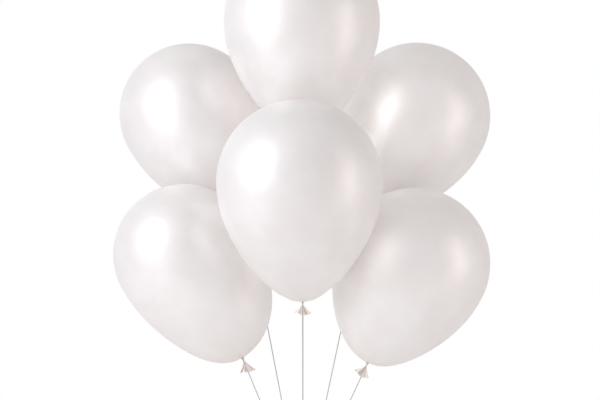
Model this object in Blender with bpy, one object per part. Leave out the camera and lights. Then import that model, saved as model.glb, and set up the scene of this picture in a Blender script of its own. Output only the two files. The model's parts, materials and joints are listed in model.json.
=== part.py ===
"""Tied bunch of six latex balloons on ribbons.

The origin is the gather knot that holds the bunch, +Z is up and -Y is the front.
Each balloon is a thin envelope that ends in a neck, the knot in that neck, and the
flared tail of the mouthpiece below it.  A ribbon is tied round the neck above the
knot and runs straight down to the gather knot.
"""
import math

import bmesh
import bpy
from mathutils import Euler, Matrix, Vector

MM = 0.001

# ---- driving dimensions -------------------------------------------------------
# neck: where the envelope ends above its neck, in metres from the gather knot
# side, back: the balloon's lean in degrees, to the right and away from the front
# radius: at the widest place; length: from there down to the neck
# taper: how much slimmer than an ellipse the lower part gets
# bow: how far the lower part bulges to the right of the balloon's axis, in metres
# tail_lean: the tail's lean to the left in the balloon's own frame, in degrees
# gather: the ribbon's place round the gather knot, in degrees from +X
BALLOONS = {
    "front": dict(neck=(-0.001, -0.096, 0.3865), side=-1.5, back=-12.0, radius=0.1505,
                  length=0.2225, taper=0.29, bow=0.0, tail_lean=1.0, gather=-90),
    "top": dict(neck=(0.0, 0.038, 0.699), side=-0.5, back=4.0, radius=0.152,
                length=0.223, taper=0.28, bow=0.0, tail_lean=4.0, gather=90),
    "upper_left": dict(neck=(-0.120, 0.208, 0.558), side=-31.0, back=14.0, radius=0.1465,
                       length=0.235, taper=0.17, bow=-0.0025, tail_lean=10.0, gather=150),
    "upper_right": dict(neck=(0.1295, 0.170, 0.550), side=28.5, back=14.0, radius=0.152,
                        length=0.229, taper=0.23, bow=0.0, tail_lean=-8.0, gather=30),
    "lower_left": dict(neck=(-0.118, 0.052, 0.2645), side=-30.2, back=8.0, radius=0.138,
                       length=0.235, taper=0.07, bow=0.0075, tail_lean=14.0, gather=210),
    "lower_right": dict(neck=(0.1245, 0.017, 0.2595), side=25.1, back=-1.0, radius=0.1445,
                        length=0.2115, taper=0.19, bow=-0.0045, tail_lean=0.0, gather=-30),
}

ENVELOPE_WALL = 0.3 * MM
NECK_RADIUS = 1.7 * MM
NECK_BORE = 1.1 * MM
NECK_LENGTH = 3.4 * MM

RIBBON_DIAMETER = 2.0 * MM
RIBBON_POINTS = 13
TOUCHING_GAP = 0.3 * MM

TIE_DEPTH = 1.7 * MM            # below the envelope's end
TIE_INNER = NECK_RADIUS + 0.4 * MM
TIE_STRAND = 0.8 * MM           # radius of the wound ribbon
TIE_KNOT = 1.8 * MM             # radius of the knot at the front of the winding
TIE_KNOT_SPREAD = 0.45          # radians round the neck

KNOT_RADIUS = 2.3 * MM
KNOT_HEIGHT = 2.6 * MM

TAIL_BACK = 35.0                # degrees that the tail leans behind the ribbon
TAIL_LENGTH = 24.0 * MM
TAIL_THROAT = 1.6 * MM
TAIL_HALF_WIDTH = 16.0 * MM
TAIL_HALF_DEPTH = 3.6 * MM
TAIL_WALL = 0.5 * MM
LIP_BEAD = 0.5 * MM             # extra wall at the rolled lip
TAIL_START = NECK_LENGTH + KNOT_HEIGHT + 1.7 * MM

GATHER_RING = 7.0 * MM
GATHER_TOP = 8.5 * MM           # height of the ribbons' lower ends
GATHER_RADIUS = 9.0 * MM
GATHER_HEIGHT = 12.0 * MM
WRAP_RADIUS = 8.6 * MM
WRAP_HEIGHT = 1.4 * MM
CUT_END_LENGTH = 18.0 * MM
CUT_END_SPLAY = 14.0            # degrees from straight down

ENVELOPE_SEGMENTS = 24
SMALL_SEGMENTS = 16


# ---- helpers ------------------------------------------------------------------
def clear_scene():
    for item in list(bpy.data.objects):
        bpy.data.objects.remove(item, do_unlink=True)


def material(name, color, roughness, metallic=0.0):
    made = bpy.data.materials.new(name)
    made.use_nodes = True
    shader = made.node_tree.nodes["Principled BSDF"]
    shader.inputs["Base Color"].default_value = (*color, 1.0)
    shader.inputs["Roughness"].default_value = roughness
    shader.inputs["Metallic"].default_value = metallic
    made.diffuse_color = (*color, 1.0)
    return made


def empty(name, location, rotation=(0.0, 0.0, 0.0), parent=None):
    made = bpy.data.objects.new(name, None)
    made.empty_display_size = 0.01
    made.location = location
    made.rotation_euler = rotation
    made.parent = parent
    bpy.context.scene.collection.objects.link(made)
    return made


def from_bmesh(name, bm, mat, parent=None):
    bmesh.ops.recalc_face_normals(bm, faces=bm.faces)
    mesh = bpy.data.meshes.new(name)
    bm.to_mesh(mesh)
    bm.free()
    mesh.shade_smooth()
    mesh.set_sharp_from_angle(angle=math.radians(50))
    mesh.materials.append(mat)
    made = bpy.data.objects.new(name, mesh)
    made.parent = parent
    bpy.context.scene.collection.objects.link(made)
    return made


def loft(rings, closed_start, closed_end):
    """Skin a list of rings; each ring is a list of points, or one point for a pole."""
    bm = bmesh.new()
    loops = [[bm.verts.new(point) for point in ring] for ring in rings]
    for lower, upper in zip(loops, loops[1:]):
        count = max(len(lower), len(upper))
        for i in range(count):
            j = (i + 1) % count
            if len(lower) == 1:
                bm.faces.new((lower[0], upper[j], upper[i]))
            elif len(upper) == 1:
                bm.faces.new((lower[i], lower[j], upper[0]))
            else:
                bm.faces.new((lower[i], lower[j], upper[j], upper[i]))
    if closed_start:
        bm.faces.new(loops[0])
    if closed_end:
        bm.faces.new(loops[-1])
    return bm


def turned(profile, segments):
    """Turn (radius, height) pairs about Z; a radius of zero is a pole."""
    rings = []
    for radius, height in profile:
        if radius == 0.0:
            rings.append([(0.0, 0.0, height)])
            continue
        angles = [2 * math.pi * i / segments for i in range(segments)]
        rings.append([(radius * math.cos(a), radius * math.sin(a), height) for a in angles])
    return rings


# ---- a balloon's pieces, in the balloon's own frame: neck at 0, crown up ------
def envelope_profile(balloon, inset):
    """Crown to neck: a hemisphere on an ellipse that slims towards the neck."""
    radius = balloon["radius"]
    length = balloon["length"]
    profile = [(0.0, length + radius - inset)]
    for degrees in range(15, 91, 15):
        angle = math.radians(degrees)
        profile.append(((radius - inset) * math.sin(angle),
                        length + (radius - inset) * math.cos(angle)))
    for degrees in (14, 28, 41, 53, 64, 74, 82):
        depth = math.sin(math.radians(degrees))
        slim = math.sqrt(1 - depth ** 2) * (1 - balloon["taper"] * depth ** 2)
        profile.append((radius * slim - inset, length * (1 - depth) + inset * depth))
    return profile


def envelope_bow(balloon, height):
    """How far right of the axis the envelope's middle is at a height above the neck."""
    depth = min(1.0, max(0.0, 1 - height / balloon["length"]))
    return 4 * balloon["bow"] * depth ** 2 * (1 - depth ** 2)


def make_envelope(name, balloon, mat, frame):
    outside = envelope_profile(balloon, 0.0)
    inside = envelope_profile(balloon, ENVELOPE_WALL)
    shoulder = 0.6 * MM
    outside += [(2.2 * NECK_RADIUS, shoulder), (NECK_RADIUS, 0.0), (NECK_RADIUS, -NECK_LENGTH)]
    inside += [(2.2 * NECK_RADIUS, shoulder + ENVELOPE_WALL), (NECK_BORE, 0.0),
               (NECK_BORE, -NECK_LENGTH)]
    rings = turned(outside + inside[::-1], ENVELOPE_SEGMENTS)
    rings = [[(x + envelope_bow(balloon, z), y, z) for x, y, z in ring] for ring in rings]
    return from_bmesh(name, loft(rings, False, False), mat, frame)


def make_neck_knot(name, mat, frame):
    """The knot in the neck: a squat roll with a waist where the latex crosses itself."""
    top = -NECK_LENGTH - TOUCHING_GAP
    bottom = top - KNOT_HEIGHT + TOUCHING_GAP
    middle = (top + bottom) / 2
    profile = [(0.7 * KNOT_RADIUS, top), (KNOT_RADIUS, 0.6 * top + 0.4 * middle),
               (0.86 * KNOT_RADIUS, middle), (KNOT_RADIUS, 0.6 * bottom + 0.4 * middle),
               (0.7 * KNOT_RADIUS, bottom)]
    return from_bmesh(name, loft(turned(profile, SMALL_SEGMENTS), True, True), mat, frame)


def tail_ring(share, inset):
    """One ring of the flattened funnel, at a share of its length."""
    flare = share ** 1.3
    half_width = TAIL_THROAT + (TAIL_HALF_WIDTH - TAIL_THROAT) * flare - inset
    half_depth = TAIL_THROAT + (TAIL_HALF_DEPTH - TAIL_THROAT) * flare - inset
    ring = []
    for i in range(SMALL_SEGMENTS):
        angle = 2 * math.pi * i / SMALL_SEGMENTS
        sag = 2.5 * MM * flare * abs(math.cos(angle)) ** 2
        ring.append((half_width * math.cos(angle), half_depth * math.sin(angle),
                     sag - TAIL_LENGTH * share))
    return ring


def make_tail(name, balloon, mat, frame):
    """The flared mouthpiece below the knot, open at its rolled lip."""
    outside = [(0.0, 0.0), (0.25, 0.0), (0.5, 0.0), (0.75, 0.0), (0.94, 0.0),
               (0.96, -LIP_BEAD), (1.0, -LIP_BEAD)]
    inside = [(1.0, TAIL_WALL), (0.75, TAIL_WALL), (0.5, TAIL_WALL), (0.25, TAIL_WALL)]
    rings = [tail_ring(share, inset) for share, inset in outside + inside]
    bm = loft(rings, True, True)
    lean = Euler((math.radians(TAIL_BACK), math.radians(balloon["tail_lean"]), 0.0))
    place = Matrix.Translation((0.0, 0.0, -TAIL_START)) @ lean.to_matrix().to_4x4()
    bm.transform(place)
    return from_bmesh(name, bm, mat, frame)


def make_tie(name, mat, frame):
    """The ribbon wound round the neck, swelling into its knot at the front."""
    around = 20
    rings = []
    for i in range(around):
        angle = 2 * math.pi * i / around
        from_front = (angle + math.pi) % (2 * math.pi) - math.pi
        swell = math.exp(-(from_front / TIE_KNOT_SPREAD) ** 2)
        strand = TIE_STRAND + (TIE_KNOT - TIE_STRAND) * swell
        out = Vector((math.sin(angle), -math.cos(angle), 0.0))
        centre = out * (TIE_INNER + strand) + Vector((0.0, 0.0, -TIE_DEPTH))
        ring = []
        for k in range(8):
            turn = 2 * math.pi * k / 8
            ring.append(centre + out * strand * math.cos(turn)
                        + Vector((0.0, 0.0, strand * math.sin(turn))))
        rings.append(ring)
    return from_bmesh(name, loft(rings + [rings[0]], False, False), mat, frame)


# ---- the gather ---------------------------------------------------------------
def ribbon_foot(balloon):
    angle = math.radians(balloon["gather"])
    return Vector((GATHER_RING * math.cos(angle), GATHER_RING * math.sin(angle), GATHER_TOP))


def balloon_rotation(balloon):
    return Euler((-math.radians(balloon["back"]), math.radians(balloon["side"]), 0.0))


def tie_knot_centre(balloon):
    offset = Vector((0.0, -(TIE_INNER + TIE_KNOT), -TIE_DEPTH))
    offset.rotate(balloon_rotation(balloon))
    return Vector(balloon["neck"]) + offset


def make_ribbon(name, balloon, mat):
    """A straight ribbon from the gather to just below the knot of its tie."""
    foot = ribbon_foot(balloon)
    knot = tie_knot_centre(balloon)
    way = (knot - foot).normalized()
    head = knot - way * (TIE_KNOT + TOUCHING_GAP)
    curve = bpy.data.curves.new(name, "CURVE")
    curve.dimensions = "3D"
    curve.bevel_depth = RIBBON_DIAMETER / 2
    curve.bevel_resolution = 2
    curve.use_fill_caps = True
    spline = curve.splines.new("POLY")
    spline.points.add(RIBBON_POINTS - 1)
    for i, point in enumerate(spline.points):
        point.co = (*((head - foot) * i / (RIBBON_POINTS - 1)), 1.0)
    curve.materials.append(mat)
    made = bpy.data.objects.new(name, curve)
    made.location = foot
    bpy.context.scene.collection.objects.link(made)
    return made


def make_gather(mat):
    half = GATHER_HEIGHT / 2
    profile = [(0.45 * GATHER_RADIUS, half), (0.8 * GATHER_RADIUS, 0.8 * half),
               (GATHER_RADIUS, 0.35 * half), (0.9 * GATHER_RADIUS, 0.0),
               (GATHER_RADIUS, -0.35 * half), (0.8 * GATHER_RADIUS, -0.8 * half),
               (0.45 * GATHER_RADIUS, -half)]
    from_bmesh("gather_knot", loft(turned(profile, SMALL_SEGMENTS), True, True), mat)
    low = half + TOUCHING_GAP
    wrap = [(WRAP_RADIUS - 0.4 * MM, low), (WRAP_RADIUS, low + 0.4 * MM),
            (WRAP_RADIUS, low + WRAP_HEIGHT - 0.4 * MM),
            (WRAP_RADIUS - 0.4 * MM, low + WRAP_HEIGHT)]
    from_bmesh("gather_wrap", loft(turned(wrap, SMALL_SEGMENTS), True, True), mat)


def make_cut_end(name, balloon, mat):
    """A ribbon's cut end below the gather knot, splayed a little and curling in."""
    angle = math.radians(balloon["gather"])
    out = Vector((math.cos(angle), math.sin(angle), 0.0))
    side = Vector((-out.y, out.x, 0.0))
    rings = []
    steps = 7
    for i in range(steps):
        share = i / (steps - 1)
        reach = math.tan(math.radians(CUT_END_SPLAY)) * CUT_END_LENGTH * share * (1 - 0.35 * share)
        start = out * 0.4 * GATHER_RADIUS
        down = -(GATHER_HEIGHT / 2 + TOUCHING_GAP + CUT_END_LENGTH * share)
        centre = start + out * reach + Vector((0.0, 0.0, down))
        ring = []
        for k in range(8):
            turn = 2 * math.pi * k / 8
            ring.append(centre + (out * math.cos(turn) + side * math.sin(turn)) * RIBBON_DIAMETER / 2)
        rings.append(ring)
    return from_bmesh(name, loft(rings, True, True), mat)


# ---- the bunch ----------------------------------------------------------------
def build():
    clear_scene()
    latex = material("latex", (0.86, 0.84, 0.84), 0.3)
    tail_latex = material("tail_latex", (0.80, 0.76, 0.73), 0.45)
    ribbon = material("ribbon", (0.78, 0.78, 0.79), 0.5)
    make_gather(ribbon)
    for name, balloon in BALLOONS.items():
        frame = empty(name + "_neck_frame", balloon["neck"], balloon_rotation(balloon))
        make_envelope(name + "_envelope", balloon, latex, frame)
        make_neck_knot(name + "_neck_knot", tail_latex, frame)
        make_tail(name + "_tail", balloon, tail_latex, frame)
        make_tie(name + "_ribbon_tie", ribbon, frame)
        make_ribbon(name + "_ribbon", balloon, ribbon)
        make_cut_end(name + "_cut_end", balloon, ribbon)


build()
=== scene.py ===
"""The looks of a bunch of six pearl white latex balloons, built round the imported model.

Every place comes from the frame: a balloon's neck and axis are its twist hinge, the knot
of its tie is its tilt hinge, and its ribbon's foot is its swing hinge.  The envelope's
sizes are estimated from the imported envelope.
"""
import json
import math

import bmesh
import bpy
import numpy as np
from mathutils import Matrix, Vector, noise


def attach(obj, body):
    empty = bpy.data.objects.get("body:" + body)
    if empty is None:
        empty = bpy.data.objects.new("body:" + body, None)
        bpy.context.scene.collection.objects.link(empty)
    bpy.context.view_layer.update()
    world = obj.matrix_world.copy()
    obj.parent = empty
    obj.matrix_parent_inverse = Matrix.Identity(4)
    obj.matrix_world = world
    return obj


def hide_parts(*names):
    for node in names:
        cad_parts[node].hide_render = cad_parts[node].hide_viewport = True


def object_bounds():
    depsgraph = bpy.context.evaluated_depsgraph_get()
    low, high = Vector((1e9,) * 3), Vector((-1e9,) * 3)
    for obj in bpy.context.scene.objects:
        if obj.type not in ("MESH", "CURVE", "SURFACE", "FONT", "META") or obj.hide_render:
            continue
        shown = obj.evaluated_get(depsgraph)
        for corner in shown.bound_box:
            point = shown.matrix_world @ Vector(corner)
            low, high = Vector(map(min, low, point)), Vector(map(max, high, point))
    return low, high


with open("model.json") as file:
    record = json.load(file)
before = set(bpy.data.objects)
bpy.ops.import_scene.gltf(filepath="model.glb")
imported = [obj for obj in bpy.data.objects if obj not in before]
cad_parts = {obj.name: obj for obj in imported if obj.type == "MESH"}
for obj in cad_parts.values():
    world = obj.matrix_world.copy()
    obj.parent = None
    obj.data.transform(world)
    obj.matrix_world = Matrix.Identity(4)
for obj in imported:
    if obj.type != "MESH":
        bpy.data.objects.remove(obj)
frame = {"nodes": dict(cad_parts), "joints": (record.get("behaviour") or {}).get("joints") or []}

CAD_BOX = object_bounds()
MM = 0.001
FULL_TURN = 2 * math.pi
NAMES = ("front", "top", "upper_left", "upper_right", "lower_left", "lower_right")
JOINTS = {joint["name"]: joint for joint in frame["joints"]}

# ---- sizes of the small pieces --------------------------------------------------
RIBBON_DIAMETER = 2.0 * MM
RIBBON_GAP = 2.1 * MM           # from the tie knot's middle to the ribbon's head
RIBBON_POINTS = 25

ENVELOPE_SEGMENTS = 128
UNEVENNESS = 0.0018             # soft dents in the skin, as a share of its radius
PLEATS = 11                     # gathers that run into the neck
PLEAT_DEPTH = 0.05              # as a share of the radius
PLEAT_FADE = 16 * MM            # how far above the neck they fade
CROWN_FADE = 2.2 * MM           # size of the thicker spot at the crown
NECK_RADIUS = 1.7 * MM
# height in mm and radius in neck radii, from the swell above the tie down into the knot
NECK_RINGS = ((0.4, 1.5), (0.0, 1.05), (-0.6, 0.97), (-1.2, 0.97), (-2.2, 0.97), (-3.2, 0.97))

TIE_DEPTH = 1.7 * MM            # below the envelope's end
TIE_RADIUS = 2.75 * MM
TIE_STRAND = 0.55 * MM          # radius of the wound ribbon
TIE_TURNS = 2
TIE_STEPS = 48
TIE_CLIMB = 0.42 * MM           # of the winding, to either side of its middle
TIE_KNOT_STRAND = 0.6 * MM
TIE_KNOT_LOOP = 0.42 * MM       # third of the knot's half width
TIE_KNOT_SWAY = 0.36 * MM       # of the knot's strand, to the front and back
TIE_KNOT_STEPS = 60
TIE_KNOT_PLACE = 3.9 * MM       # of the knot, in front of the neck's axis

KNOT_DEPTH = 5.05 * MM          # of the knot in the neck, below the envelope's end
KNOT_STRAND = 0.95 * MM
KNOT_LOOP = (1.28 * MM, 1.2 * MM, 0.62 * MM)    # half its strand's reach on each axis
KNOT_STEPS = 72

TAIL_START = 7.7 * MM
TAIL_BACK = math.radians(35)    # how far the tail leans behind the ribbon
TAIL_LENGTH = 26.0 * MM
TAIL_THROAT = (1.5, 1.3)        # half width and half depth at the throat, in mm
TAIL_FLARE = (13.9, 3.0)        # how much wider and deeper the mouth is, in mm
TAIL_BEAD = 0.95 * MM           # radius of the rolled bead at the mouth
TAIL_WALL = 0.4 * MM
TAIL_SEGMENTS = 144
OPEN_SIDE = 217                 # degrees round the tail where its mouth opens
OPEN_SHORT = 8.2 * MM           # how much shorter the tail is there

# folds that run from the tail's throat to its lip: degrees round the tail (270 is the
# front), width in degrees, depth in mm
FOLDS = ((22, 9, 0.9), (58, 12, 1.5), (97, 8, 1.0), (131, 13, 1.6), (163, 8, 0.7),
         (207, 8, 0.8), (236, 9, 1.5), (262, 8, 2.1), (287, 7, 0.7), (309, 11, 1.5), (338, 8, 0.8))

GATHER_STRAND = 1.05 * MM       # radius of a ribbon in the gather
GATHER_LOOP = 1.9 * MM          # third of the knot's half width
GATHER_SWAY = 2.7 * MM          # of the knot's strands, up and down
GATHER_BUNDLE = 2.15 * MM       # of the six strands round the middle of their bundle
GATHER_CORE = 1.3 * MM          # radius of the strand that fills the bundle
GATHER_RING = 7.0 * MM          # of the ribbons' feet round the gather's axis
GATHER_TOP = 8.5 * MM           # height of the ribbons' feet
GATHER_DROP = 7.0 * MM          # from the ribbons' feet down into the knot
GATHER_NARROWS = 4.4 * MM       # over that drop
GATHER_STEPS = 180
BINDING_TURNS = 2.5
BINDING_STRAND = 0.62 * MM
BINDING_LOW = 4.7 * MM          # height of its lowest turn
BINDING_CLIMB = 2.3 * MM
BINDING_GAP = 1.4 * MM          # from the middle of a ribbon to the middle of its turn
BINDING_PULL = 1.0 * MM         # how far it is pulled in between two ribbons

CUT_END_TOP = -4.6              # height of its root in the knot, in mm
CUT_END_DROP = 19.0             # from there down to the cut, in mm
CUT_END_ROOT = 3.2              # from the gather's axis, in mm
CUT_END_SPREAD = 4.2            # outward on the way down, in mm
CUT_END_CURL = 0.7 * MM         # to the side
CUT_END_SLANT = 1.1             # of the cut, as a slope

# ---- camera and light -----------------------------------------------------------
# the camera stands 2.66 m in front of the gather knot and looks level
CAMERA_PLACE = (-0.0056, -2.66, 0.572)
CAMERA_LENS = 83.5

# the surround that lights the bunch; left and right are as seen from the camera
FRONT_LEFT = (0.72, 0.715, 0.725)
FRONT_RIGHT = (0.66, 0.63, 0.625)
BACK_LEFT = (0.75, 0.745, 0.755)
BACK_RIGHT = (0.76, 0.71, 0.69)
ABOVE_LEFT = (0.80, 0.785, 0.785)
ABOVE_RIGHT = (0.59, 0.57, 0.56)
UNDERNEATH = (0.71, 0.68, 0.675)

LIT_PLACE = Vector((0.0, 0.05, 0.62))
# name, azimuth from the camera (left is negative), elevation, distance, width, height, roll
# of the long side to the right, radiance, and the balloons that it lights (none: everything)
LIGHTS = (
    ("key", -54, 17.5, 2.3, 0.76, 1.55, 0, (3.8, 3.8, 4.0), ()),
    ("halo", -54, 20, 2.4, 1.30, 2.0, 0, (0.40, 0.39, 0.46), ()),
    ("strip", 66, 4, 2.3, 0.45, 1.7, 0, (2.0, 1.75, 1.68), ()),
    ("behind", 205, 15, 3.0, 1.2, 1.6, 0, (0.2, 0.19, 0.185), ()),
    ("upper_slant", -41, 27, 2.3, 0.52, 1.0, 38, (6.3, 6.2, 6.2), ("upper_right",)),
    ("lower_slant", -40, 16, 2.3, 0.36, 1.1, 38, (5.1, 5.0, 5.0), ("lower_right",)),
    ("upper_fill", 90, 35, 2.3, 2.4, 1.6, 0, (0.45, 0.41, 0.39), ("upper_left",)),
    ("lower_fill", 98, 31, 2.3, 1.6, 1.9, 0, (0.78, 0.75, 0.73), ("lower_left",)),
    ("bounce", -10, -70, 2.3, 1.6, 1.4, 0, (0.90, 0.88, 0.85), ("top",)),
)

FLOOR_GAP = 0.02                # below the lowest cut end
FLOOR_REACH = 30
WHITE = (1.0, 1.0, 1.0, 1.0)


# ---- camera ---------------------------------------------------------------------
def make_camera():
    data = bpy.data.cameras.new("camera")
    data.lens = CAMERA_LENS
    data.sensor_width = 36.0
    camera = bpy.data.objects.new("camera", data)
    camera.location = CAMERA_PLACE
    camera.rotation_euler = (math.radians(90), 0.0, 0.0)
    bpy.context.scene.collection.objects.link(camera)
    bpy.context.scene.camera = camera


# ---- meshes ---------------------------------------------------------------------
def link(name, data, mat, matrix=None):
    """An object at the origin; a mesh keeps its own coordinates in the attribute "own"."""
    if matrix is not None:
        own = data.attributes.new("own", "FLOAT_VECTOR", "POINT")
        places = np.empty(len(data.vertices) * 3, np.float32)
        data.vertices.foreach_get("co", places)
        own.data.foreach_set("vector", places)
        data.transform(matrix)
    made = bpy.data.objects.new(name, data)
    data.materials.append(mat)
    bpy.context.scene.collection.objects.link(made)
    return made


def mesh_of(name, rings, close_ends=True):
    """A mesh skinned over rings of points; a ring of one point is a pole."""
    bm = bmesh.new()
    loops = [[bm.verts.new(point) for point in ring] for ring in rings]
    for lower, upper in zip(loops, loops[1:]):
        count = max(len(lower), len(upper))
        for i in range(count):
            j = (i + 1) % count
            if len(lower) == 1:
                bm.faces.new((lower[0], upper[j], upper[i]))
            elif len(upper) == 1:
                bm.faces.new((lower[i], lower[j], upper[0]))
            else:
                bm.faces.new((lower[i], lower[j], upper[j], upper[i]))
    if close_ends and len(loops[0]) > 2:
        bm.faces.new(loops[0])
    if close_ends and len(loops) > 1 and len(loops[-1]) > 2:
        bm.faces.new(loops[-1])
    bmesh.ops.recalc_face_normals(bm, faces=bm.faces)
    mesh = bpy.data.meshes.new(name)
    bm.to_mesh(mesh)
    bm.free()
    mesh.shade_smooth()
    return mesh


def joined(name, tubes):
    """One mesh out of several tubes, each a list of rings."""
    bm = bmesh.new()
    for tube in tubes:
        bm.from_mesh(mesh_of(name, tube))
    mesh = bpy.data.meshes.new(name)
    bm.to_mesh(mesh)
    bm.free()
    mesh.shade_smooth()
    return mesh


def tube_rings(path, radius, sides, closed=False):
    """Rings of a round tube along a path of points; a closed one ends on its first ring."""
    points = [Vector(p) for p in path]
    count = len(points)
    rings = []
    side = None
    for i in range(count):
        if closed:
            way = points[(i + 1) % count] - points[i - 1]
        else:
            way = points[min(i + 1, count - 1)] - points[max(i - 1, 0)]
        way.normalize()
        if side is None:
            side = way.orthogonal().normalized()
        side = (side - way * side.dot(way)).normalized()
        up = way.cross(side)
        rings.append([points[i] + side * radius * math.cos(FULL_TURN * k / sides)
                      + up * radius * math.sin(FULL_TURN * k / sides) for k in range(sides)])
    if closed:
        rings.append(rings[0])
    return rings


def overhand(loop, sway, steps):
    """The strand of an overhand knot, a trefoil; its last point is on its first."""
    turns = [FULL_TURN * i / steps for i in range(steps + 1)]
    return [(loop * (math.sin(t) + 2 * math.sin(2 * t)), loop * (math.cos(t) - 2 * math.cos(2 * t)),
             -sway * math.sin(3 * t)) for t in turns]


# ---- materials ------------------------------------------------------------------
class Nodes:
    """A Principled material and short calls that add nodes to it."""

    def __init__(self, name):
        self.material = bpy.data.materials.new(name)
        self.material.use_nodes = True
        self.tree = self.material.node_tree
        self.shader = self.tree.nodes["Principled BSDF"]

    def add(self, kind, inputs=None, **settings):
        node = self.tree.nodes.new(kind)
        for key, value in settings.items():
            setattr(node, key, value)
        for key, value in (inputs or {}).items():
            self.put(value, node.inputs[key])
        return node

    def put(self, value, socket):
        if isinstance(value, bpy.types.NodeSocket):
            self.tree.links.new(value, socket)
        else:
            socket.default_value = value

    def set(self, **sockets):
        for key, value in sockets.items():
            self.put(value, self.shader.inputs[key.replace("_", " ")])

    def vector(self, attribute):
        return self.add("ShaderNodeAttribute", attribute_name=attribute).outputs["Vector"]

    def factor(self, attribute):
        return self.add("ShaderNodeAttribute", attribute_name=attribute).outputs["Fac"]

    def times(self, a, b):
        node = self.add("ShaderNodeMath", operation="MULTIPLY")
        self.put(a, node.inputs[0])
        self.put(b, node.inputs[1])
        return node.outputs[0]

    def ramp(self, value, stops):
        node = self.add("ShaderNodeValToRGB", {"Fac": value})
        ramp = node.color_ramp
        ramp.interpolation = "EASE"
        for element, (place, color) in zip(ramp.elements, stops):
            element.position = place
            element.color = (*color, 1.0)
        return node.outputs["Color"]

    def mix(self, share, a, b):
        node = self.add("ShaderNodeMix", data_type="RGBA")
        self.put(share, node.inputs[0])
        self.put(a, node.inputs[6])
        self.put(b, node.inputs[7])
        return node.outputs[2]

    def stretch(self, noise_value, low, high):
        """A noise, of which the middle two fifths are stretched to run from low to high."""
        node = self.add("ShaderNodeMapRange", {"Value": noise_value, "From Min": 0.3,
                                               "From Max": 0.7, "To Min": low, "To Max": high})
        return node.outputs["Result"]

    def noise(self, place, scale, detail, roughness):
        node = self.add("ShaderNodeTexNoise", {"Vector": place, "Scale": scale,
                                               "Detail": detail, "Roughness": roughness})
        return node.outputs["Fac"]

    def bump(self, height, strength, distance):
        node = self.add("ShaderNodeBump", {"Height": height, "Strength": strength,
                                           "Distance": distance})
        self.set(Normal=node.outputs["Normal"])


def latex_material():
    """Stretched pearl latex: creamier where it is thick, at the neck and the crown."""
    made = Nodes("pearl_latex")
    place = made.vector("own")
    thick = made.factor("thickness")
    streak_place = made.add("ShaderNodeMapping", {"Vector": place, "Scale": (1.0, 1.0, 0.3)})
    streaks = made.noise(streak_place.outputs["Vector"], 26.0, 4.0, 0.55)
    clouds = made.noise(place, 13.0, 3.0, 0.55)
    pearl = made.ramp(clouds, [(0.32, (0.897, 0.875, 0.862)), (0.68, (0.938, 0.925, 0.922))])
    pearl = made.mix(made.stretch(streaks, 0.0, 0.25), pearl, (0.94, 0.93, 0.925, 1.0))
    made.set(Base_Color=made.mix(thick, pearl, (0.88, 0.82, 0.76, 1.0)), Metallic=0.45)
    made.set(Roughness=made.stretch(streaks, 0.43, 0.47))
    made.set(Coat_Weight=0.15, Coat_Roughness=0.28)
    made.bump(made.noise(place, 700.0, 2.0, 0.5), 0.02, 0.2 * MM)
    return made.material


def tail_material():
    """Unstretched latex: opaque, creamy and less glossy, with painted shade that darkens its folds
    and the inside of its mouth.

    Its weak glow is painted light that stands for the light that gets through the thin skin; it is
    dimmer where the shade is painted.
    """
    made = Nodes("slack_latex")
    place = made.vector("own")
    shade = made.factor("shade")
    clouds = made.noise(place, 160.0, 3.0, 0.55)
    cream = made.ramp(clouds, [(0.3, (0.93, 0.86, 0.81)), (0.7, (0.97, 0.93, 0.90))])
    # painted shade: where the shade layer is high, the cream darkens toward brown
    colour = made.mix(made.times(shade, 0.85), cream, (0.36, 0.25, 0.23, 1.0))
    made.set(Base_Color=colour, Roughness=made.stretch(clouds, 0.42, 0.55))
    made.set(Coat_Weight=0.15, Coat_Roughness=0.3)
    # painted light: a weak glow, bright on the cream and dim where the shade is painted
    glow = made.mix(shade, (1.0, 0.86, 0.78, 1.0), (0.3, 0.2, 0.18, 1.0))
    made.set(Emission_Color=glow, Emission_Strength=0.13)
    made.bump(made.noise(place, 900.0, 3.0, 0.6), 0.15, 0.3 * MM)
    return made.material


def ribbon_material():
    """Thin grey satin ribbon, twisted into a cord."""
    made = Nodes("ribbon")
    place = made.add("ShaderNodeTexCoord").outputs["Object"]
    threads = made.noise(place, 900.0, 3.0, 0.6)
    colour = made.ramp(threads, [(0.3, (0.47, 0.47, 0.485)), (0.7, (0.60, 0.60, 0.61))])
    made.set(Base_Color=colour, Roughness=made.stretch(threads, 0.33, 0.5))
    made.set(Sheen_Weight=0.25, Sheen_Roughness=0.4)
    made.bump(threads, 0.12, 0.2 * MM)
    return made.material


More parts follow.
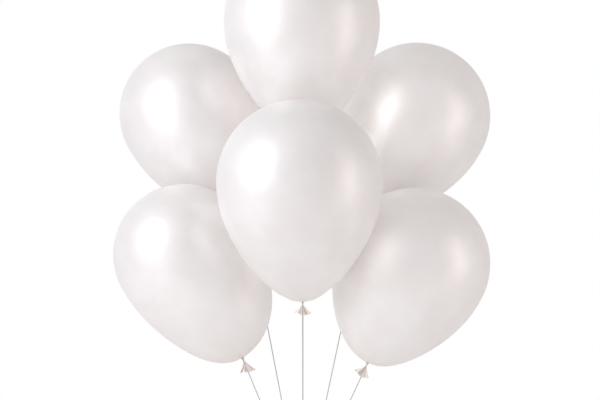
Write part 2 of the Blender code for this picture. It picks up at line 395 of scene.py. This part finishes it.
# ---- a balloon ------------------------------------------------------------------
class Balloon:
    """One balloon's places and sizes, worked out from the frame."""

    def __init__(self, name):
        self.name = name
        self.neck = Vector(JOINTS[name + "_twist"]["pos_m"])
        self.axis = Vector(JOINTS[name + "_twist"]["axis"]).normalized()
        self.tie_knot = Vector(JOINTS[name + "_tilt"]["pos_m"])
        self.foot = Vector(JOINTS[name + "_swing"]["pos_m"])
        self.outward = Vector((self.foot.x, self.foot.y, 0.0)).normalized()
        front = self.tie_knot - self.neck
        front = (front - self.axis * front.dot(self.axis)).normalized()
        across = (-front).cross(self.axis)
        turn = Matrix((across, -front, self.axis)).transposed()
        self.matrix = Matrix.Translation(self.neck) @ turn.to_4x4()
        self.measure()

    def own_points(self, node):
        """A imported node's points in the balloon's own frame: neck at the origin, crown up +Z."""
        back = self.matrix.inverted()
        return [back @ v.co for v in frame["nodes"][self.name + node].data.vertices]

    def measure(self):
        """The envelope's radius, length below the widest place, taper and sideways bow.

        The bow isn't taken out before the taper is estimated, so a bowed balloon's taper
        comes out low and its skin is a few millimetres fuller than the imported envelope.
        """
        points = np.array(self.own_points("_envelope"))
        around = np.hypot(points[:, 0], points[:, 1])
        self.radius = float(around.max())
        self.length = float(points[:, 2].max()) - self.radius
        depth = 1 - points[:, 2] / self.length
        lower = (depth > 0.3) & (depth < 0.9)
        ellipse = np.sqrt(1 - depth[lower] ** 2)
        slim = (1 - around[lower] / (self.radius * ellipse)) / depth[lower] ** 2
        self.taper = float(np.percentile(slim, 20))
        middle = points[lower]
        heights = np.round(middle[:, 2], 4)
        bows = []
        for height in np.unique(heights):
            level = middle[heights == height]
            sunk = 1 - height / self.length
            offset = (level[:, 0].max() + level[:, 0].min()) / 2
            bows.append(offset / (4 * sunk ** 2 * (1 - sunk ** 2)))
        self.bow = float(np.median(bows))

    def outline(self, height):
        """The envelope's radius at a height above the neck."""
        if height > self.length:
            return math.sqrt(max(0.0, self.radius ** 2 - (height - self.length) ** 2))
        depth = 1 - height / self.length
        return self.radius * math.sqrt(max(0.0, 1 - depth ** 2)) * (1 - self.taper * depth ** 2)

    def middle(self, height):
        """How far right of the axis the envelope's middle is at that height."""
        depth = min(1.0, max(0.0, 1 - height / self.length))
        return 4 * self.bow * depth ** 2 * (1 - depth ** 2)


def add_piece(name, mesh, mat, matrix, body, slot, *nodes):
    """Link a mesh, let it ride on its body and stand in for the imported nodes."""
    made = link(name, mesh, mat, matrix)
    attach(made, body)
    for node in nodes:
        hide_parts(node)


def add_layer(mesh, name, values):
    mesh.attributes.new(name, "FLOAT", "POINT").data.foreach_set("value", values)


def envelope_heights(balloon):
    """Ring heights from the crown down, close together at the crown and the neck."""
    upper = [balloon.length + balloon.radius * math.cos(math.radians(a))
             for a in [1, 2, 4, 6, 9] + list(range(12, 90, 3))]
    lower = [balloon.length * (1 - math.sin(math.radians(a))) for a in range(0, 88, 2)]
    return upper + lower


def make_envelope(balloon, mat):
    """The blown-up skin, with the gathers that run into the neck."""
    top = balloon.length + balloon.radius
    rings = [[(0.0, 0.0, top)]]
    thick = [0.55]
    seed = balloon.neck * 7.0
    for height in envelope_heights(balloon):
        base = max(balloon.outline(height), NECK_RADIUS)
        gather = math.exp(-height / PLEAT_FADE)
        crown = math.exp(-((top - height) / CROWN_FADE))
        ring = []
        for k in range(ENVELOPE_SEGMENTS):
            angle = FULL_TURN * k / ENVELOPE_SEGMENTS
            spot = Vector((math.cos(angle), math.sin(angle), height * 6))
            soft = noise.noise(spot * 0.9 + seed)
            pleat = math.cos(PLEATS * angle + 2.0 * soft)
            reach = base * (1 + UNEVENNESS * soft) + gather * PLEAT_DEPTH * base * pleat
            ring.append((reach * math.cos(angle) + balloon.middle(height),
                         reach * math.sin(angle), height))
        rings.append(ring)
        thick += [min(1.0, 0.75 * gather + 0.5 * crown)] * ENVELOPE_SEGMENTS
    for height, wide in NECK_RINGS:
        reach = NECK_RADIUS * wide
        rings.append([(reach * math.cos(FULL_TURN * k / ENVELOPE_SEGMENTS),
                       reach * math.sin(FULL_TURN * k / ENVELOPE_SEGMENTS), height * MM)
                      for k in range(ENVELOPE_SEGMENTS)])
        thick += [1.0] * ENVELOPE_SEGMENTS
    mesh = mesh_of(balloon.name + "_skin", rings)
    add_layer(mesh, "thickness", thick)
    add_piece(balloon.name + "_skin", mesh, mat, balloon.matrix, balloon.name + "_balloon",
              "latex", balloon.name + "_envelope")


def make_knot(balloon, mat):
    """The knot in the neck: a rolled loop of latex pulled tight on itself."""
    across, front_to_back, up = KNOT_LOOP
    path = []
    for i in range(KNOT_STEPS):
        t = FULL_TURN * i / KNOT_STEPS
        path.append((across * math.sin(2 * t + 0.3), front_to_back * math.cos(2 * t + 0.3),
                     up * math.sin(3 * t) - KNOT_DEPTH))
    mesh = mesh_of(balloon.name + "_knot", tube_rings(path, KNOT_STRAND, 12, closed=True), False)
    add_piece(balloon.name + "_knot", mesh, mat, balloon.matrix, balloon.name + "_balloon",
              "tail_latex", balloon.name + "_neck_knot")


def tail_matrix(balloon):
    """The tail's own frame: its throat at the origin and its mouth down -Z.

    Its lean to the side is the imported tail's.
    """
    points = balloon.own_points("_tail")
    start = Vector((0.0, 0.0, -TAIL_START))
    way = sum(points, Vector()) / len(points) - start
    sideways = math.atan2(-way.x, -way.z)
    turn = Matrix.Rotation(sideways, 4, "Y") @ Matrix.Rotation(TAIL_BACK, 4, "X")
    return balloon.matrix @ Matrix.Translation(start) @ turn


def fold_depth(angle, turn):
    """How deep the folds are at an angle round the tail, in mm; turn varies them."""
    depth = 0.0
    for number, (place, width, deep) in enumerate(FOLDS):
        shifted = place + 9 * math.sin(number + 2.1 * turn)
        off = (math.degrees(angle) - shifted + 180) % 360 - 180
        depth += deep * (1 + 0.3 * math.sin(3 * number + turn)) * math.exp(-(off / width) ** 2)
    return depth


def tail_point(angle, share, out, turn):
    """A point of the folded fan: share runs from its throat to its mouth, out is the
    offset from its skin, and turn varies its folds."""
    flare = share ** 1.1
    half_width, half_depth = [(throat + wider * flare) * MM
                              for throat, wider in zip(TAIL_THROAT, TAIL_FLARE)]
    valley = fold_depth(angle, turn) * MM * math.sqrt(flare) * (1 - 0.35 * share ** 3)
    open_side = max(0.0, math.cos(angle - math.radians(OPEN_SIDE + 6 * math.sin(turn))))
    short = OPEN_SHORT * flare ** 2 * open_side ** 8
    wave = 0.9 * MM * flare * math.sin(2 * angle + 2 * turn)
    sag = 0.8 * MM * flare * math.cos(angle) ** 2 + wave + short + 0.6 * valley
    x = (half_width - 0.3 * valley + out) * math.cos(angle)
    y = (half_depth - valley + out) * math.sin(angle)
    return Vector((x, y, sag - TAIL_LENGTH * share))


def make_tail(balloon, mat):
    """The slack mouthpiece below the knot, with the rolled bead round its open mouth."""
    turn = 0.7 + 1.9 * NAMES.index(balloon.name)
    # down the outside, round the bead and back up the inside: share, out, and 1 inside
    steps = [(share / 20, 0.0, 0.0) for share in range(0, 19)]
    for i in range(13):
        roll = math.radians(-110 + 310 * i / 12)
        steps.append((1 + TAIL_BEAD * (math.sin(roll) - 1) / TAIL_LENGTH,
                      TAIL_BEAD * (math.cos(roll) + 0.35), 0.0))
    steps += [(share / 20, -TAIL_WALL, 1.0) for share in range(18, 1, -1)]
    angles = [FULL_TURN * k / TAIL_SEGMENTS for k in range(TAIL_SEGMENTS)]
    rings = [[tail_point(angle, share, out, turn) for angle in angles] for share, out, _ in steps]
    mesh = mesh_of(balloon.name + "_mouth", rings)
    # painted shade: full on the mouth's inside, elsewhere deeper where the folds are deeper, and
    # more on the inner wall
    painted_shade = []
    for _, out, inside in steps:
        fold_shade = 0.3025 if out > 0.0 else 0.55
        painted_shade += [max(inside, min(1.0, fold_shade * fold_depth(angle, turn))) for angle in angles]
    add_layer(mesh, "shade", painted_shade)
    add_piece(balloon.name + "_mouth", mesh, mat, tail_matrix(balloon), balloon.name + "_balloon",
              "tail_latex", balloon.name + "_tail")


def make_tie(balloon, mat):
    """Two turns of ribbon round the neck and the small knot at their front."""
    path = []
    for i in range(TIE_STEPS + 1):
        angle = TIE_TURNS * FULL_TURN * i / TIE_STEPS - math.pi / 2
        path.append((TIE_RADIUS * math.cos(angle), TIE_RADIUS * math.sin(angle),
                     TIE_CLIMB * math.cos(angle / TIE_TURNS) - TIE_DEPTH))
    mesh = mesh_of(balloon.name + "_tie", tube_rings(path, TIE_STRAND, 10))
    add_piece(balloon.name + "_tie", mesh, mat, balloon.matrix, balloon.name + "_binding",
              "ribbon", balloon.name + "_ribbon_tie")
    path = [(across, -sway - TIE_KNOT_PLACE, up - TIE_DEPTH)
            for across, up, sway in overhand(TIE_KNOT_LOOP, TIE_KNOT_SWAY, TIE_KNOT_STEPS)]
    mesh = mesh_of(balloon.name + "_tie_knot",
                   tube_rings(path[:-1], TIE_KNOT_STRAND, 10, closed=True), False)
    add_piece(balloon.name + "_tie_knot", mesh, mat, balloon.matrix, balloon.name + "_binding",
              "ribbon")


def make_ribbon(balloon, mat):
    """The taut ribbon from the gather to the knot of the tie."""
    way = (balloon.tie_knot - balloon.foot).normalized()
    head = balloon.tie_knot - way * RIBBON_GAP
    curve = bpy.data.curves.new(balloon.name + "_line", "CURVE")
    curve.dimensions = "3D"
    curve.bevel_depth = RIBBON_DIAMETER / 2
    curve.bevel_resolution = 3
    curve.use_fill_caps = True
    spline = curve.splines.new("POLY")
    spline.points.add(RIBBON_POINTS - 1)
    for i, point in enumerate(spline.points):
        point.co = (*balloon.foot.lerp(head, i / (RIBBON_POINTS - 1)), 1.0)
    line = link(balloon.name + "_line", curve, mat)
    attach(line, balloon.name + "_line")
    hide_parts(balloon.name + "_ribbon")


# ---- the gather -----------------------------------------------------------------
def add_gather_piece(name, tubes, mat, node):
    add_piece(name, joined(name, tubes), mat, Matrix(), "gather", "ribbon", node)


def bundle_reach(share):
    """How far from the gather's axis a ribbon is, share of the way down to the knot."""
    return GATHER_RING - GATHER_NARROWS * share ** 2


def make_gather_bundle(balloons, mat):
    """The overhand knot of the six ribbons, and the stretches that run down into it."""
    path = overhand(GATHER_LOOP, GATHER_SWAY, GATHER_STEPS)
    strands = zip(*tube_rings(path, GATHER_BUNDLE, len(balloons)))
    tubes = [tube_rings(strand, GATHER_STRAND, 8) for strand in strands]
    tubes.append(tube_rings(path, GATHER_CORE, 8))
    for balloon in balloons:
        down = []
        for i in range(13):
            share = i / 12
            height = Vector((0.0, 0.0, GATHER_TOP - GATHER_DROP * share))
            down.append(balloon.outward * bundle_reach(share) + height)
        tubes.append(tube_rings(down, GATHER_STRAND * 0.95, 10))
    add_gather_piece("gather_bundle", tubes, mat, "gather_knot")


def make_gather_turns(mat):
    """The turns that bind the ribbons above the knot, pulled in between them."""
    first = math.radians(30)        # the place of a ribbon; the others are every 60 degrees
    path = []
    for i in range(GATHER_STEPS + 1):
        angle = FULL_TURN * BINDING_TURNS * i / GATHER_STEPS
        off = (math.degrees(angle) + 30) % 60 - 30
        height = BINDING_LOW + BINDING_CLIMB * i / GATHER_STEPS
        pulled_in = BINDING_PULL * (1 - math.cos(math.radians(3 * off)))
        reach = bundle_reach((GATHER_TOP - height) / GATHER_DROP) + BINDING_GAP - pulled_in
        path.append((reach * math.cos(angle + first), reach * math.sin(angle + first), height))
    add_gather_piece("gather_turns", [tube_rings(path, BINDING_STRAND, 10)], mat, "gather_wrap")


def make_cut_end(balloon, mat):
    """A ribbon's free end below the knot: it spreads outward, curls and is cut at a slant."""
    side = Vector((-balloon.outward.y, balloon.outward.x, 0.0))
    path = []
    for i in range(25):
        share = i / 24
        reach = (CUT_END_ROOT + CUT_END_SPREAD * share * (1 - 0.35 * share)) * MM
        curl = CUT_END_CURL * math.sin(5 * share) * share
        height = Vector((0.0, 0.0, (CUT_END_TOP - CUT_END_DROP * share) * MM))
        path.append(balloon.outward * reach + side * curl + height)
    rings = tube_rings(path, GATHER_STRAND * 0.95, 10)
    tilt = (balloon.outward + side * 0.5).normalized()
    rings[-1] = [point + Vector((0.0, 0.0, CUT_END_SLANT * (point - path[-1]).dot(tilt)))
                 for point in rings[-1]]
    add_gather_piece(balloon.name + "_end", [rings], mat, balloon.name + "_cut_end")


# ---- stage ----------------------------------------------------------------------
def make_world():
    """A tinted surround that lights the bunch; the camera sees it as pure white."""
    world = bpy.data.worlds.new("world")
    bpy.context.scene.world = world
    world.use_nodes = True
    tree = world.node_tree
    background = tree.nodes["Background"]
    place = tree.nodes.new("ShaderNodeTexCoord").outputs["Generated"]
    split = tree.nodes.new("ShaderNodeSeparateXYZ")
    tree.links.new(place, split.inputs[0])

    def blend(value, low, high, first, second):
        """The first colour where the value is low, easing into the second."""
        ease = tree.nodes.new("ShaderNodeMapRange")
        ease.interpolation_type = "SMOOTHSTEP"
        tree.links.new(value, ease.inputs["Value"])
        ease.inputs["From Min"].default_value = low
        ease.inputs["From Max"].default_value = high
        mix = tree.nodes.new("ShaderNodeMix")
        mix.data_type = "RGBA"
        tree.links.new(ease.outputs["Result"], mix.inputs[0])
        for color, socket in ((first, mix.inputs[6]), (second, mix.inputs[7])):
            if isinstance(color, bpy.types.NodeSocket):
                tree.links.new(color, socket)
            else:
                socket.default_value = (*color, 1.0)
        return mix.outputs[2]

    front = blend(split.outputs["X"], -0.9, 0.9, FRONT_LEFT, FRONT_RIGHT)
    behind = blend(split.outputs["X"], -0.9, 0.9, BACK_LEFT, BACK_RIGHT)
    round_about = blend(split.outputs["Y"], -0.1, 0.9, front, behind)
    above = blend(split.outputs["X"], -0.6, 0.6, ABOVE_LEFT, ABOVE_RIGHT)
    topped = blend(split.outputs["Z"], 0.1, 0.8, round_about, above)
    tinted = blend(split.outputs["Z"], -0.9, 0.0, UNDERNEATH, topped)
    camera_ray = tree.nodes.new("ShaderNodeLightPath").outputs["Is Camera Ray"]
    seen = blend(camera_ray, 0.4, 0.6, tinted, WHITE[:3])
    tree.links.new(seen, background.inputs["Color"])


def make_lamp(name, azimuth, elevation, distance, width, height, roll, radiance, only):
    """A soft rectangular lamp; one that lights only some balloons is shadowed by them only."""
    across = math.radians(azimuth)
    rise = math.radians(elevation)
    way = Vector((math.sin(across) * math.cos(rise), -math.cos(across) * math.cos(rise),
                  math.sin(rise)))
    data = bpy.data.lights.new(name, "AREA")
    data.shape = "RECTANGLE"
    data.size = width
    data.size_y = height
    strongest = max(radiance)
    data.color = [share / strongest for share in radiance]
    data.energy = strongest * math.pi * width * height
    lamp = bpy.data.objects.new(name, data)
    turn = way.to_track_quat("Z", "Y").to_matrix() @ Matrix.Rotation(-math.radians(roll), 3, "Z")
    lamp.matrix_world = Matrix.Translation(LIT_PLACE + way * distance) @ turn.to_4x4()
    lamp.visible_camera = False
    bpy.context.scene.collection.objects.link(lamp)
    if only:
        lit = bpy.data.collections.new("lit_by_" + name)
        for balloon in only:
            lit.objects.link(bpy.data.objects[balloon + "_skin"])
        lamp.light_linking.receiver_collection = lit
        lamp.light_linking.blocker_collection = lit


def make_floor():
    """A plain white floor under the bunch, which the camera sees as pure white too."""
    corners = ((-1, -1), (1, -1), (1, 1), (-1, 1))
    mesh = mesh_of("floor", [[(x * FLOOR_REACH, y * FLOOR_REACH, 0) for x, y in corners]])
    floor = bpy.data.objects.new("floor", mesh)
    floor.location.z = CAD_BOX[0].z - FLOOR_GAP
    made = Nodes("floor")
    made.set(Base_Color=(0.88, 0.865, 0.86, 1.0), Roughness=0.9)
    made.set(Emission_Color=WHITE, Emission_Strength=0.08)
    seen = made.add("ShaderNodeEmission", {"Color": WHITE})
    camera_ray = made.add("ShaderNodeLightPath").outputs["Is Camera Ray"]
    mix = made.add("ShaderNodeMixShader", {"Fac": camera_ray})
    made.put(made.shader.outputs[0], mix.inputs[1])
    made.put(seen.outputs[0], mix.inputs[2])
    made.put(mix.outputs[0], made.tree.nodes["Material Output"].inputs["Surface"])
    mesh.materials.append(made.material)
    bpy.context.scene.collection.objects.link(floor)


def make_stage():
    scene = bpy.context.scene
    scene.view_settings.view_transform = "Standard"
    scene.cycles.max_bounces = 24
    scene.cycles.diffuse_bounces = 16
    scene.cycles.glossy_bounces = 16
    make_world()
    for light in LIGHTS:
        make_lamp(*light)
    make_floor()


# ---- the bunch ------------------------------------------------------------------
make_camera()
balloons = [Balloon(name) for name in NAMES]
latex = latex_material()
slack = tail_material()
ribbon = ribbon_material()
for balloon in balloons:
    make_ribbon(balloon, ribbon)
for balloon in balloons:
    make_envelope(balloon, latex)
    make_knot(balloon, slack)
    make_tail(balloon, slack)
    make_tie(balloon, ribbon)
make_gather_bundle(balloons, ribbon)
make_gather_turns(ribbon)
for balloon in balloons:
    make_cut_end(balloon, ribbon)
make_stage()
